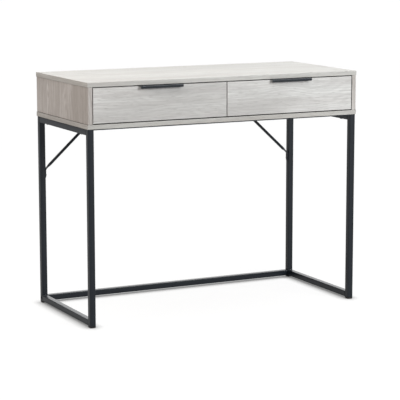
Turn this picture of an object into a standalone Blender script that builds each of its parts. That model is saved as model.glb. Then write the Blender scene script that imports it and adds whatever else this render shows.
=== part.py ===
"""A writing desk: two inset drawers in a board carcass, on a frame of square steel tube.

Metres, +Z up. The origin is on the floor, at the centre of the footprint. The drawers open towards -Y.
"""

import math

import bmesh
import bpy
from mathutils import Vector

# Whole desk
WIDTH = 1.000
DEPTH = 0.450  # of the boards; the handles stand proud of it
HEIGHT = 0.800
CARCASS_HEIGHT = 0.150
TOUCH = 0.0003  # gap left between pieces that touch

# Carcass boards
BOARD = 0.015
BACK_PANEL = 0.015
SIDE_RECESS = 0.002  # side panels stand back from the ends of the top
EDGE_RADIUS = 0.0007  # edge banding, trimmed and scraped

# Drawer fronts
FRONT = 0.015
REVEAL_Z = 0.003
REVEAL_SIDE = 0.0025
REVEAL_MIDDLE = 0.003
DIVIDER_SETBACK = 0.003

# Drawer boxes
DRAWER_SIDE = 0.012
DRAWER_LIFT = 0.015  # bottom board to the drawer's sides
DRAWER_HEADROOM = 0.025  # drawer's sides to the top board
DRAWER_REAR_ROOM = 0.0697  # behind the closed drawer
DRAWER_BOTTOM = 0.003
GROOVE_DEPTH = 0.006
GROOVE_UP = 0.010

# Runners: a cabinet rail, a ball cage and a drawer rail
RUNNER_SPACE = 0.0127  # from the wall to the drawer's side
RUNNER_OVERLAP = 0.100  # of the two rails when the drawer is open, and the cage's length
RUNNER_HEIGHT = 0.035
RUNNER_SETBACK = 0.002
RUNNER_STEEL = 0.0012
RUNNER_BEND = 0.0012
RUNNER_CLEARANCE = 0.0010  # between the cage and each rail
CABINET_RAIL_CLEARANCE = 0.0027  # to the drawer's side
CABINET_RAIL_LIP = 0.0024
BALL_SPACE = 0.0053  # between the raceways
CAGE_STEEL = 0.0008

# Handles: a strip folded over the front's top edge
HANDLE_LENGTH = 0.152
HANDLE_PROJECTION = 0.0115
HANDLE_SHEET = 0.0015
HANDLE_LIP = 0.0095
HANDLE_FLANGE = 0.018
HANDLE_BEND = 0.0016
HANDLE_SCREW_SPACING = 0.110
HANDLE_SCREW_DOWN = 0.0105  # below the front's top edge

# Frame
TUBE = 0.020
TUBE_WALL = 0.0015
TUBE_CORNER = 0.002
FRAME_INSET = 0.002  # behind the boards' edges, all round
FOOT_HEIGHT = 0.006
FOOT_PLUG = 0.0055
FOOT_TAPER = 0.0014
FOOT_EDGE = 0.0006
TIE_STRIP = 0.003
TIE_STRIP_WIDTH = TUBE
RAIL_END_PLATE = 0.004

# Braces: round bar with flattened ends
BRACE_BAR = 0.010
BRACE_RUN = 0.200
BRACE_DROP = 0.184
BRACE_TAB = 0.030
BRACE_TAB_WIDTH = 0.0145
BRACE_TAB_THICKNESS = 0.0028
BRACE_BEND = 0.010
BRACE_BLEND = 0.014  # flat to round
BRACE_HOLE_FROM_TIP = 0.0105

# Fasteners: shank radius, head radius, head height
M4_SCREW = (0.0020, 0.0040, 0.0020)
BRACE_SCREW = (0.0020, 0.0042, 0.0022)
CARCASS_BOLT = (0.0030, 0.0055, 0.0028)
REAR_BOLT = (0.0030, 0.0060, 0.0016)
BOLT_HOLE_CLEARANCE = 0.0004
SCREW_TIP_CLEARANCE = 0.001
HANDLE_SCREW_BITE = 0.009
BRACE_SCREW_BITE = 0.010
CARCASS_BOLT_BITE = 0.011
CARCASS_BOLT_SPACING = 0.300
REAR_BOLT_BITE = 0.010

# Where things are
HALF = WIDTH / 2
CLEAR_UNDER = HEIGHT - CARCASS_HEIGHT  # floor to the carcass
FRONT_Y = (HANDLE_PROJECTION - DEPTH) / 2
REAR_Y = FRONT_Y + DEPTH
BAY_BOTTOM = CLEAR_UNDER + BOARD
BAY_TOP = HEIGHT - BOARD
WALL_X = HALF - SIDE_RECESS - BOARD  # side panel's inner face
FRONT_BACK_Y = FRONT_Y + FRONT
BACK_PANEL_Y = REAR_Y - BACK_PANEL
FRONT_TOP = BAY_TOP - REVEAL_Z
FRAME_TOP = CLEAR_UNDER - TOUCH
LEG_X = HALF - FRAME_INSET - TUBE / 2
LEG_INNER_X = LEG_X - TUBE / 2
FRONT_LEG_Y = FRONT_Y + FRAME_INSET + TUBE / 2
REAR_LEG_Y = REAR_Y - FRAME_INSET - TUBE / 2
LEG_MIDDLE_Y = (FRONT_LEG_Y + REAR_LEG_Y) / 2
RAIL_LENGTH = REAR_LEG_Y - FRONT_LEG_Y - TUBE - 2 * TOUCH
LOW_RAIL_Z = FOOT_HEIGHT + TUBE / 2
DRAWER_LOW = BAY_BOTTOM + DRAWER_LIFT
DRAWER_HIGH = BAY_TOP - DRAWER_HEADROOM
DRAWER_BOX_Y = FRONT_BACK_Y + TOUCH
DRAWER_REAR_Y = BACK_PANEL_Y - DRAWER_REAR_ROOM
RUNNER_Y = FRONT_BACK_Y + RUNNER_SETBACK
RUNNER_Z = (DRAWER_LOW + DRAWER_HIGH) / 2
RUNNER_LENGTH = DRAWER_REAR_Y - DRAWER_BOX_Y
SIDES = {"left": -1, "right": 1}


# ---- Scene and materials ----

def clear_scene():
    for thing in list(bpy.data.objects):
        bpy.data.objects.remove(thing)


def new_collection(name):
    collection = bpy.data.collections.new(name)
    bpy.context.scene.collection.children.link(collection)
    return collection


def material(name, colour, roughness, metallic=0.0):
    made = bpy.data.materials.new(name)
    made.use_nodes = True
    shader = made.node_tree.nodes["Principled BSDF"]
    shader.inputs["Base Color"].default_value = (*colour, 1.0)
    shader.inputs["Roughness"].default_value = roughness
    shader.inputs["Metallic"].default_value = metallic
    return made


clear_scene()
DESK = new_collection("writing_desk")
CUTTERS = new_collection("cutters")
GREY_OAK = material("grey_oak_melamine", (0.62, 0.60, 0.57), 0.5)
DRAWER_WHITE = material("drawer_box_melamine", (0.72, 0.72, 0.70), 0.5)
BLACK_STEEL = material("black_powder_coat", (0.03, 0.032, 0.036), 0.45)
ZINC = material("zinc_plated_steel", (0.60, 0.62, 0.64), 0.35, 1.0)
BLACK_PLASTIC = material("black_plastic", (0.02, 0.02, 0.02), 0.5)


# ---- Shapes ----

def finish_mesh(name, shape, finish, smooth_angle=40):
    """Turn a bmesh into an object in the desk's collection."""
    mesh = bpy.data.meshes.new(name)
    shape.to_mesh(mesh)
    shape.free()
    mesh.materials.append(finish)
    mesh.shade_smooth()
    mesh.set_sharp_from_angle(angle=math.radians(smooth_angle))
    piece = bpy.data.objects.new(name, mesh)
    DESK.objects.link(piece)
    return piece


def place(piece, where, parent=None):
    """Put a piece at a world position, under an unturned parent if it has one."""
    piece.location = Vector(where)
    if parent:
        piece.parent = parent
        piece.location -= parent.location
    return piece


def cuboid(low, high):
    """A box as a bmesh about its own centre, with that centre."""
    low = Vector(low)
    high = Vector(high)
    shape = bmesh.new()
    bmesh.ops.create_cube(shape, size=1)
    bmesh.ops.scale(shape, vec=high - low, verts=shape.verts)
    return shape, (low + high) / 2


def bevel(piece, width, segments):
    modifier = piece.modifiers.new("rounded edges", "BEVEL")
    modifier.width = width
    modifier.segments = segments
    modifier.limit_method = "ANGLE"
    return modifier


def board(name, low, high, finish=GREY_OAK, parent=None, radius=EDGE_RADIUS, segments=2):
    """A panel with lightly rounded edges."""
    shape, centre = cuboid(low, high)
    piece = finish_mesh(name, shape, finish)
    bevel(piece, radius, segments)
    return place(piece, centre, parent)


def rounded_path(points, radius, steps, closed=False):
    """A polyline with each inner corner turned into an arc of the given radius."""
    count = len(points)
    rounded = []
    for index, corner in enumerate(points):
        corner = Vector(corner)
        if not closed and index in (0, count - 1):
            rounded.append(corner)
            continue
        before = (Vector(points[index - 1]) - corner).normalized()
        after = (Vector(points[(index + 1) % count]) - corner).normalized()
        half_turn = before.angle(after) / 2
        centre = corner + (before + after).normalized() * radius / math.sin(half_turn)
        start = corner + before * radius / math.tan(half_turn) - centre
        end = corner + after * radius / math.tan(half_turn) - centre
        turn = start.angle(end)
        for step in range(steps + 1):
            along = step / steps
            weight_start = math.sin((1 - along) * turn) / math.sin(turn)
            weight_end = math.sin(along * turn) / math.sin(turn)
            rounded.append(centre + start * weight_start + end * weight_end)
    return rounded


def folded(name, path, length, thickness, finish, closed=False):
    """Sheet of one thickness about a mid-line in local XY, running the length along local Z."""
    shape = bmesh.new()
    verts = [shape.verts.new((point.x, point.y, -length / 2)) for point in path]
    ends = verts[1:] + ([verts[0]] if closed else [])
    edges = [shape.edges.new(pair) for pair in zip(verts, ends)]
    grown = bmesh.ops.extrude_edge_only(shape, edges=edges)
    moved = [item for item in grown["geom"] if isinstance(item, bmesh.types.BMVert)]
    bmesh.ops.translate(shape, vec=(0, 0, length), verts=moved)
    bmesh.ops.recalc_face_normals(shape, faces=shape.faces)
    piece = finish_mesh(name, shape, finish)
    wall = piece.modifiers.new("sheet", "SOLIDIFY")
    wall.thickness = thickness
    wall.offset = 0
    wall.use_even_offset = True
    return piece


def square_ring(size, radius):
    half = size / 2
    corners = [(half, -half), (half, half), (-half, half), (-half, -half)]
    return rounded_path(corners, radius, 2, closed=True)


def tube(name, length, where, axis="Z"):
    """Square tube with open ends along a world axis."""
    path = square_ring(TUBE - TUBE_WALL, TUBE_CORNER - TUBE_WALL / 2)
    piece = folded(name, path, length, TUBE_WALL, BLACK_STEEL, closed=True)
    if axis == "Y":
        piece.rotation_euler.x = math.radians(90)
    return place(piece, where)


def turn_to(piece, direction):
    piece.rotation_mode = "QUATERNION"
    piece.rotation_quaternion = Vector(direction).to_track_quat("Z", "Y")
    return piece


def fastener(name, sizes, length, seat, direction, finish, parent=None):
    """A screw whose head stands on the seat and points along the direction; its shank runs the other way."""
    shank, head, tall = sizes
    point = shank * 0.5
    socket = head * 0.35
    profile = [
        (0, tall * 0.5),
        (socket, tall),
        (head * 0.75, tall),
        (head, tall * 0.45),
        (head, TOUCH),
        (shank, TOUCH),
        (shank, point - length),
        (point, -length),
        (0, -length),
    ]
    shape = bmesh.new()
    verts = [shape.verts.new((across, 0, up)) for across, up in profile]
    for pair in zip(verts, verts[1:]):
        shape.edges.new(pair)
    piece = finish_mesh(name, shape, finish)
    lathe = piece.modifiers.new("turned", "SCREW")
    lathe.steps = 12
    lathe.render_steps = 12
    lathe.use_merge_vertices = True
    lathe.merge_threshold = 0.00001
    turn_to(piece, direction)
    return place(piece, seat, parent)


# ---- Cutters ----

def as_cutter(name, shape):
    mesh = bpy.data.meshes.new(name)
    shape.to_mesh(mesh)
    shape.free()
    cutter = bpy.data.objects.new(name, mesh)
    CUTTERS.objects.link(cutter)
    cutter.hide_render = True
    cutter.display_type = "WIRE"
    return cutter


def box_cutter(name, low, high):
    shape, centre = cuboid(low, high)
    return place(as_cutter(name, shape), centre)


def hole_cutter(name, shank, start, end):
    """A cylinder with clearance round a shank, from one point to another."""
    start = Vector(start)
    end = Vector(end)
    shape = bmesh.new()
    radius = shank + BOLT_HOLE_CLEARANCE
    bmesh.ops.create_cone(
        shape, cap_ends=True, segments=14, radius1=radius, radius2=radius, depth=(end - start).length
    )
    return turn_to(place(as_cutter(name, shape), (start + end) / 2), end - start)


def cut(piece, cutter):
    modifier = piece.modifiers.new(cutter.name, "BOOLEAN")
    modifier.operation = "DIFFERENCE"
    modifier.solver = "EXACT"
    modifier.object = cutter


# ---- Carcass ----

def carcass():
    boards = {}
    boards["top"] = board("top_board", (-HALF, FRONT_Y, BAY_TOP), (HALF, REAR_Y, HEIGHT))
    boards["bottom"] = board("bottom_board", (-HALF, FRONT_Y, CLEAR_UNDER), (HALF, REAR_Y, BAY_BOTTOM))
    low = BAY_BOTTOM + TOUCH
    high = BAY_TOP - TOUCH
    for side, sign in SIDES.items():
        ends = sorted((sign * WALL_X, sign * (WALL_X + BOARD)))
        board(f"{side}_side_panel", (ends[0], FRONT_Y, low), (ends[1], REAR_Y, high))
    board("back_panel", (TOUCH - WALL_X, BACK_PANEL_Y, low), (WALL_X - TOUCH, REAR_Y, high))
    divider_front = FRONT_BACK_Y + DIVIDER_SETBACK
    divider_rear = BACK_PANEL_Y - TOUCH
    board("centre_divider", (-BOARD / 2, divider_front, low), (BOARD / 2, divider_rear, high))
    return boards


# ---- Frame ----

def foot(name, where):
    """A tapered cap under the leg, with a square plug that enters the tube."""
    cap = FOOT_HEIGHT - TOUCH
    shape, _ = cuboid((-TUBE / 2, -TUBE / 2, 0), (TUBE / 2, TUBE / 2, cap))
    bmesh.ops.translate(shape, vec=(0, 0, cap / 2), verts=shape.verts)
    for vert in shape.verts:
        if vert.co.z < cap / 2:
            vert.co.x -= math.copysign(FOOT_TAPER, vert.co.x)
            vert.co.y -= math.copysign(FOOT_TAPER, vert.co.y)
    top = max(shape.faces, key=lambda face: face.calc_center_median().z)
    bmesh.ops.inset_region(shape, faces=[top], thickness=TUBE_WALL + TOUCH, use_even_offset=True)
    grown = bmesh.ops.extrude_face_region(shape, geom=[top])
    raised = [item for item in grown["geom"] if isinstance(item, bmesh.types.BMVert)]
    bmesh.ops.translate(shape, vec=(0, 0, FOOT_PLUG), verts=raised)
    bmesh.ops.delete(shape, geom=[top], context="FACES_ONLY")
    piece = finish_mesh(name, shape, BLACK_PLASTIC)
    bevel(piece, FOOT_EDGE, 2)
    return place(piece, where)


def side_frame(side, sign, boards):
    """Two legs with a top and a bottom rail between them, welded; it carries one end of the carcass."""
    leg_length = FRAME_TOP - FOOT_HEIGHT
    leg_z = (FRAME_TOP + FOOT_HEIGHT) / 2
    legs = {}
    for end, leg_y in (("front", FRONT_LEG_Y), ("rear", REAR_LEG_Y)):
        legs[end] = tube(f"{side}_{end}_leg", leg_length, (sign * LEG_X, leg_y, leg_z))
        foot(f"{side}_{end}_foot", (sign * LEG_X, leg_y, 0))
    top_rail_z = FRAME_TOP - TUBE / 2
    top_rail = tube(f"{side}_top_rail", RAIL_LENGTH, (sign * LEG_X, LEG_MIDDLE_Y, top_rail_z), "Y")
    tube(f"{side}_bottom_rail", RAIL_LENGTH, (sign * LEG_X, LEG_MIDDLE_Y, LOW_RAIL_Z), "Y")

    shank = CARCASS_BOLT[0]
    seat_z = FRAME_TOP - TUBE
    length = TUBE + TOUCH + CARCASS_BOLT_BITE
    for end, along in (("front", -0.5), ("rear", 0.5)):
        bolt_y = LEG_MIDDLE_Y + along * CARCASS_BOLT_SPACING
        seat = (sign * LEG_X, bolt_y, seat_z)
        fastener(f"{side}_{end}_carcass_bolt", CARCASS_BOLT, length, seat, (0, 0, -1), BLACK_STEEL)
        below = (sign * LEG_X, bolt_y, seat_z - TUBE_WALL)
        hole_end = (sign * LEG_X, bolt_y, CLEAR_UNDER + CARCASS_BOLT_BITE + SCREW_TIP_CLEARANCE)
        cutter = hole_cutter(f"{side}_{end}_carcass_bolt_hole", shank, below, hole_end)
        cut(top_rail, cutter)
        cut(boards["bottom"], cutter)
    return legs


def rear_cross_rail(rear_legs):
    """Tube between the rear legs, closed by a welded end plate that takes the bolt through each leg."""
    half = LEG_INNER_X - TOUCH
    shape = bmesh.new()
    ring = [shape.verts.new((point.x, point.y, -half)) for point in square_ring(TUBE, TUBE_CORNER)]
    first = shape.faces.new(ring)
    grown = bmesh.ops.extrude_face_region(shape, geom=[first])
    moved = [item for item in grown["geom"] if isinstance(item, bmesh.types.BMVert)]
    bmesh.ops.translate(shape, vec=(0, 0, 2 * half), verts=moved)
    bmesh.ops.recalc_face_normals(shape, faces=shape.faces)
    rail = finish_mesh("rear_cross_rail", shape, BLACK_STEEL)
    rail.rotation_euler.y = math.radians(90)
    place(rail, (0, REAR_LEG_Y, LOW_RAIL_Z))

    inside = TUBE / 2 - TUBE_WALL
    bore = half - RAIL_END_PLATE
    cut(rail, box_cutter(
        "rear_cross_rail_bore",
        (-bore, REAR_LEG_Y - inside, LOW_RAIL_Z - inside),
        (bore, REAR_LEG_Y + inside, LOW_RAIL_Z + inside),
    ))
    outer_x = LEG_X + TUBE / 2
    length = TUBE + TOUCH + REAR_BOLT_BITE
    for side, sign in SIDES.items():
        seat = (sign * outer_x, REAR_LEG_Y, LOW_RAIL_Z)
        fastener(f"{side}_rear_rail_bolt", REAR_BOLT, length, seat, (sign, 0, 0), BLACK_STEEL)
        start = (sign * (outer_x + TUBE_WALL), REAR_LEG_Y, LOW_RAIL_Z)
        end = (sign * (bore - TUBE_WALL), REAR_LEG_Y, LOW_RAIL_Z)
        cutter = hole_cutter(f"{side}_rear_bolt_hole", REAR_BOLT[0], start, end)
        cut(rear_legs[side], cutter)
        cut(rail, cutter)


def front_tie_strip():
    """A flat bar under the carcass's front edge, welded between the side frames."""
    half = LEG_INNER_X - TOUCH
    front = FRONT_Y + FRAME_INSET
    low = (-half, front, FRAME_TOP - TIE_STRIP)
    high = (half, front + TIE_STRIP_WIDTH, FRAME_TOP)
    board("front_tie_strip", low, high, BLACK_STEEL, radius=0.0004, segments=1)


# ---- Braces ----

def smooth(value):
    value = min(max(value, 0), 1)
    return value * value * (3 - 2 * value)


def brace_section(travelled, left):
    """Half-width, half-thickness and squareness of the bar at a distance from each of its tips."""
    from_tip = min(travelled, left)
    flat_end = BRACE_TAB + BRACE_BEND
    round_share = smooth((from_tip - flat_end) / BRACE_BLEND)
    width = BRACE_TAB_WIDTH + (BRACE_BAR - BRACE_TAB_WIDTH) * round_share
    thickness = BRACE_TAB_THICKNESS + (BRACE_BAR - BRACE_TAB_THICKNESS) * round_share
    square = 5 - 3 * round_share
    tip = BRACE_TAB_WIDTH / 2
    if from_tip < tip:
        width *= math.sqrt(max(1 - ((tip - from_tip) / tip) ** 2, 0.04))
    return width / 2, thickness / 2, square


def resampled(path, stations):
    """Points and directions at given distances along a polyline."""
    lengths = [(after - before).length for before, after in zip(path, path[1:])]
    found = []
    for station in stations:
        rest = station
        index = 0
        while index < len(lengths) - 1 and rest > lengths[index]:
            rest -= lengths[index]
            index += 1
        direction = (path[index + 1] - path[index]).normalized()
        found.append((path[index] + direction * rest, direction))
    return found


def brace(side, sign, leg, bottom):
    """A round bar whose ends are pressed flat, bent and screwed to the leg and under the carcass."""
    half_tab = BRACE_TAB_THICKNESS / 2
    leg_face = LEG_INNER_X - TOUCH - half_tab
    board_face = CLEAR_UNDER - TOUCH - half_tab
    bend_low = CLEAR_UNDER - BRACE_DROP
    bend_in = LEG_INNER_X - BRACE_RUN
    corners = [
        (leg_face, 0, bend_low - BRACE_TAB),
        (leg_face, 0, bend_low),
        (bend_in, 0, board_face),
        (bend_in - BRACE_TAB, 0, board_face),
    ]
    path = rounded_path(corners, BRACE_BEND, 5)
    total = sum((after - before).length for before, after in zip(path, path[1:]))
    tip = BRACE_TAB_WIDTH / 2
    near = [0, tip * 0.12, tip * 0.4, tip, BRACE_TAB - BRACE_BEND / 2]
    near += [BRACE_TAB - BRACE_BEND / 2 + BRACE_BEND * step / 5 for step in range(1, 8)]
    near += [BRACE_TAB + BRACE_BEND + BRACE_BLEND * step / 4 for step in range(1, 5)]
    stations = near + [total - station for station in reversed(near)]
    sides = 10
    shape = bmesh.new()
    rings = []
    for station, (point, direction) in zip(stations, resampled(path, stations)):
        wide, thick, square = brace_section(station, total - station)
        across = Vector((direction.z, 0, -direction.x))
        ring = []
        for step in range(sides):
            angle = 2 * math.pi * (step + 0.5) / sides
            cosine = math.cos(angle)
            sine = math.sin(angle)
            wide_part = math.copysign(abs(cosine) ** (2 / square), cosine) * wide
            thick_part = math.copysign(abs(sine) ** (2 / square), sine) * thick
            ring.append(shape.verts.new(point + across * thick_part + Vector((0, wide_part, 0))))
        rings.append(ring)
    for before, after in zip(rings, rings[1:]):
        for step in range(sides):
            following = (step + 1) % sides
            shape.faces.new((before[step], before[following], after[following], after[step]))
    shape.faces.new(rings[0])
    shape.faces.new(rings[-1])
    for vert in shape.verts:
        vert.co.x *= sign
    bmesh.ops.recalc_face_normals(shape, faces=shape.faces)
    bar = finish_mesh(f"{side}_brace", shape, BLACK_STEEL, 60)
    place(bar, (0, REAR_LEG_Y, 0))

    shank = BRACE_SCREW[0]
    length = BRACE_TAB_THICKNESS + TOUCH + BRACE_SCREW_BITE
    hole_z = bend_low - BRACE_TAB + BRACE_HOLE_FROM_TIP
    seat = (sign * (leg_face - half_tab), REAR_LEG_Y, hole_z)
    fastener(f"{side}_brace_leg_screw", BRACE_SCREW, length, seat, (-sign, 0, 0), BLACK_STEEL)
    start = (sign * (leg_face - BRACE_TAB_THICKNESS), REAR_LEG_Y, hole_z)
    end = (sign * LEG_X, REAR_LEG_Y, hole_z)
    cutter = hole_cutter(f"{side}_brace_leg_hole", shank, start, end)
    cut(bar, cutter)
    cut(leg, cutter)

    hole_x = bend_in - BRACE_TAB + BRACE_HOLE_FROM_TIP
    seat = (sign * hole_x, REAR_LEG_Y, board_face - half_tab)
    fastener(f"{side}_brace_top_screw", BRACE_SCREW, length, seat, (0, 0, -1), BLACK_STEEL)
    start = (sign * hole_x, REAR_LEG_Y, board_face - BRACE_TAB_THICKNESS)
    end = (sign * hole_x, REAR_LEG_Y, CLEAR_UNDER + BRACE_SCREW_BITE + SCREW_TIP_CLEARANCE)
    cutter = hole_cutter(f"{side}_brace_top_hole", shank, start, end)
    cut(bar, cutter)
    cut(bottom, cutter)


# ---- Runners ----

def runner(name, wall_x, towards, drawer_parent, cage_parent):
    """Cabinet rail on the wall, drawer rail on the drawer, and between them the cage that holds the balls.

    The paths are sections: across from the wall, then up.
    """
    race = RUNNER_HEIGHT / 2 - RUNNER_STEEL
    web = TOUCH + RUNNER_STEEL / 2
    flange = RUNNER_HEIGHT / 2 - RUNNER_STEEL / 2
    lip = RUNNER_SPACE - CABINET_RAIL_CLEARANCE - RUNNER_STEEL / 2
    lip_end = flange - CABINET_RAIL_LIP
    cabinet = [(lip, lip_end), (lip, flange), (web, flange), (web, -flange), (lip, -flange), (lip, -lip_end)]

    cage_web = TOUCH + RUNNER_STEEL + RUNNER_CLEARANCE + CAGE_STEEL / 2
    cage_flange = race - BALL_SPACE / 2
    cage_edge = lip - RUNNER_STEEL / 2 - RUNNER_CLEARANCE
    cage = [(cage_edge, cage_flange), (cage_web, cage_flange)]
    cage += [(cage_web, -cage_flange), (cage_edge, -cage_flange)]

    drawer_web = RUNNER_SPACE - TOUCH - RUNNER_STEEL / 2
    drawer_flange = race - BALL_SPACE - RUNNER_STEEL / 2
    drawer_edge = cage_web + CAGE_STEEL / 2 + RUNNER_CLEARANCE
    drawer = [(drawer_edge, drawer_flange), (drawer_web, drawer_flange)]
    drawer += [(drawer_web, -drawer_flange), (drawer_edge, -drawer_flange)]

    middle_y = RUNNER_Y + RUNNER_LENGTH / 2
    pieces = (
        ("cabinet_rail", cabinet, RUNNER_STEEL, RUNNER_LENGTH, None),
        ("ball_cage", cage, CAGE_STEEL, RUNNER_OVERLAP, cage_parent),
        ("drawer_rail", drawer, RUNNER_STEEL, RUNNER_LENGTH, drawer_parent),
    )
    for kind, section, steel, length, parent in pieces:
        across = [Vector((out * towards, up, 0)) for out, up in section]
        path = rounded_path(across, RUNNER_BEND, 2)
        piece = folded(f"{name}_{kind}", path, length, steel, ZINC)
        piece.rotation_euler.x = math.radians(90)
        place(piece, (wall_x, middle_y, RUNNER_Z), parent)


# ---- Drawers ----

def handle(side, middle_x, front, parent):
    """A strip folded twice: flange behind the front, plate over its top edge, lip to pull by."""
    sheet = HANDLE_SHEET
    flange_y = FRONT_BACK_Y + TOUCH + sheet / 2
    lip_y = FRONT_Y - HANDLE_PROJECTION + sheet / 2
    plate_z = FRONT_TOP + TOUCH + sheet / 2
    top = plate_z + sheet / 2
    section = [(flange_y, top - HANDLE_FLANGE), (flange_y, plate_z)]
    section += [(lip_y, plate_z), (lip_y, top - HANDLE_LIP)]
    path = rounded_path([Vector((0, y, z)) for y, z in section], HANDLE_BEND, 3)
    centre = Vector((0, (flange_y + lip_y) / 2, plate_z))
    local = [Vector((-(point.z - centre.z), point.y - centre.y, 0)) for point in path]
    strip = folded(f"{side}_handle", local, HANDLE_LENGTH, sheet, BLACK_STEEL)
    strip.rotation_euler.y = math.radians(90)
    place(strip, (middle_x, centre.y, centre.z), parent)

    length = sheet + TOUCH + HANDLE_SCREW_BITE
    hole_z = FRONT_TOP - HANDLE_SCREW_DOWN
    for number, along in enumerate((-0.5, 0.5), 1):
        hole_x = middle_x + along * HANDLE_SCREW_SPACING
        seat = (hole_x, flange_y + sheet / 2, hole_z)
        name = f"{side}_handle_screw_{number}"
        fastener(name, M4_SCREW, length, seat, (0, 1, 0), ZINC, parent)
        start = (hole_x, flange_y + sheet, hole_z)
        end = (hole_x, FRONT_BACK_Y - HANDLE_SCREW_BITE - SCREW_TIP_CLEARANCE, hole_z)
        cutter = hole_cutter(f"{name}_hole", M4_SCREW[0], start, end)
        cut(strip, cutter)
        cut(front, cutter)


def drawer(side, sign):
    """Front, box, handle and its two runners. The box runs on the side panel and on the centre divider."""
    near = REVEAL_MIDDLE / 2
    far = WALL_X - REVEAL_SIDE
    box_near = BOARD / 2 + RUNNER_SPACE
    box_far = WALL_X - RUNNER_SPACE
    middle = (near + far) / 2
    slider = bpy.data.objects.new(f"{side}_drawer_slide", None)
    slider.location = (sign * middle, FRONT_Y, RUNNER_Z)
    DESK.objects.link(slider)
    cage_slider = bpy.data.objects.new(f"{side}_cage_slide", None)
    cage_slider.location = (sign * middle, RUNNER_Y, RUNNER_Z)
    DESK.objects.link(cage_slider)

    def panel(name, x_near, x_far, low, high, finish=DRAWER_WHITE):
        left, right = sorted((sign * x_near, sign * x_far))
        return board(f"{side}_{name}", (left, *low), (right, *high), finish, slider)

    front_low = (FRONT_Y, BAY_BOTTOM + REVEAL_Z)
    front_high = (FRONT_BACK_Y, FRONT_TOP)
    front = panel("drawer_front", near, far, front_low, front_high, GREY_OAK)
    low = (DRAWER_BOX_Y, DRAWER_LOW)
    high = (DRAWER_REAR_Y, DRAWER_HIGH)
    inner = panel("drawer_inner_side", box_near, box_near + DRAWER_SIDE, low, high)
    outer = panel("drawer_outer_side", box_far - DRAWER_SIDE, box_far, low, high)
    inside_near = box_near + DRAWER_SIDE
    inside_far = box_far - DRAWER_SIDE
    back_low = (high[0] - DRAWER_SIDE, DRAWER_LOW)
    back = panel("drawer_back", inside_near + TOUCH, inside_far - TOUCH, back_low, high)

    bite = GROOVE_DEPTH - TOUCH
    bottom_z = DRAWER_LOW + GROOVE_UP
    x_near = inside_near - bite
    x_far = inside_far + bite
    bottom_low = (FRONT_BACK_Y - bite, bottom_z)
    bottom_high = (back_low[0] + bite, bottom_z + DRAWER_BOTTOM)
    left, right = sorted((sign * x_near, sign * x_far))
    low_corner = (left, *bottom_low)
    high_corner = (right, *bottom_high)
    board(f"{side}_drawer_bottom", low_corner, high_corner, DRAWER_WHITE, slider, 0.0003, 1)
    groove = box_cutter(
        f"{side}_drawer_groove",
        (left - TOUCH, bottom_low[0] - TOUCH, bottom_low[1] - TOUCH),
        (right + TOUCH, bottom_high[0] + TOUCH, bottom_high[1] + TOUCH),
    )
    for piece in (front, inner, outer, back):
        cut(piece, groove)

    handle(side, sign * middle, front, slider)
    runner(f"{side}_outer", sign * WALL_X, -sign, slider, cage_slider)
    runner(f"{side}_inner", sign * BOARD / 2, sign, slider, cage_slider)


CARCASS = carcass()
REAR_LEGS = {}
for SIDE, SIGN in SIDES.items():
    LEGS = side_frame(SIDE, SIGN, CARCASS)
    REAR_LEGS[SIDE] = LEGS["rear"]
    brace(SIDE, SIGN, LEGS["rear"], CARCASS["bottom"])
    drawer(SIDE, SIGN)
rear_cross_rail(REAR_LEGS)
front_tie_strip()
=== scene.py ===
import math

import bmesh
import bpy
import numpy as np
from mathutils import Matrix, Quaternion, Vector


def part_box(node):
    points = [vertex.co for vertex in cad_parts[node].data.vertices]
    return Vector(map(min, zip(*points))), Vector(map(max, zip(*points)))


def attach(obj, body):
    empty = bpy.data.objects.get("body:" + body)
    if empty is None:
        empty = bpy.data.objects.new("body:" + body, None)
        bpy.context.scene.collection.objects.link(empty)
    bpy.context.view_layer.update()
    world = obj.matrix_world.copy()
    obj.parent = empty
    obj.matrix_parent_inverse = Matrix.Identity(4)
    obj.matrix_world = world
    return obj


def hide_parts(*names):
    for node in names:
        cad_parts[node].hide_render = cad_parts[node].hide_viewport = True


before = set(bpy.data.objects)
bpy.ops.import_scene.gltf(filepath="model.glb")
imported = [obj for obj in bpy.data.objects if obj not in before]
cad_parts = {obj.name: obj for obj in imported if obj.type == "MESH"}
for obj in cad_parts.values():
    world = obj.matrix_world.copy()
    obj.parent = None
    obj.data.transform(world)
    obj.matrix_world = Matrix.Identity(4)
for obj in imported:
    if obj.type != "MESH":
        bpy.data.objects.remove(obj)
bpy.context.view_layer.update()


# ---- The room ----
# A white painted floor that runs out of sight, a wide soft light overhead, softboxes at the front right
# and the left, and a white screen behind. The camera stands at the front left, a little above the desk.

TOUCHING = 0.000001
SHARP = math.radians(35)


def linear(code):
    """An sRGB hex colour as linear red, green, blue and alpha."""
    srgb = np.array([int(code[1:3], 16), int(code[3:5], 16), int(code[5:7], 16)]) / 255
    light = np.where(srgb <= 0.04045, srgb / 12.92, ((srgb + 0.055) / 1.055) ** 2.4)
    return (*light.tolist(), 1.0)


def add(tree, kind, inputs=None, **settings):
    """One node with its settings. An input is a value, or another node's output to link from."""
    node = tree.nodes.new(kind)
    for key, value in settings.items():
        setattr(node, key, value)
    for key, value in (inputs or {}).items():
        if isinstance(value, bpy.types.NodeSocket):
            tree.links.new(value, node.inputs[key])
        else:
            node.inputs[key].default_value = value
    return node


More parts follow.
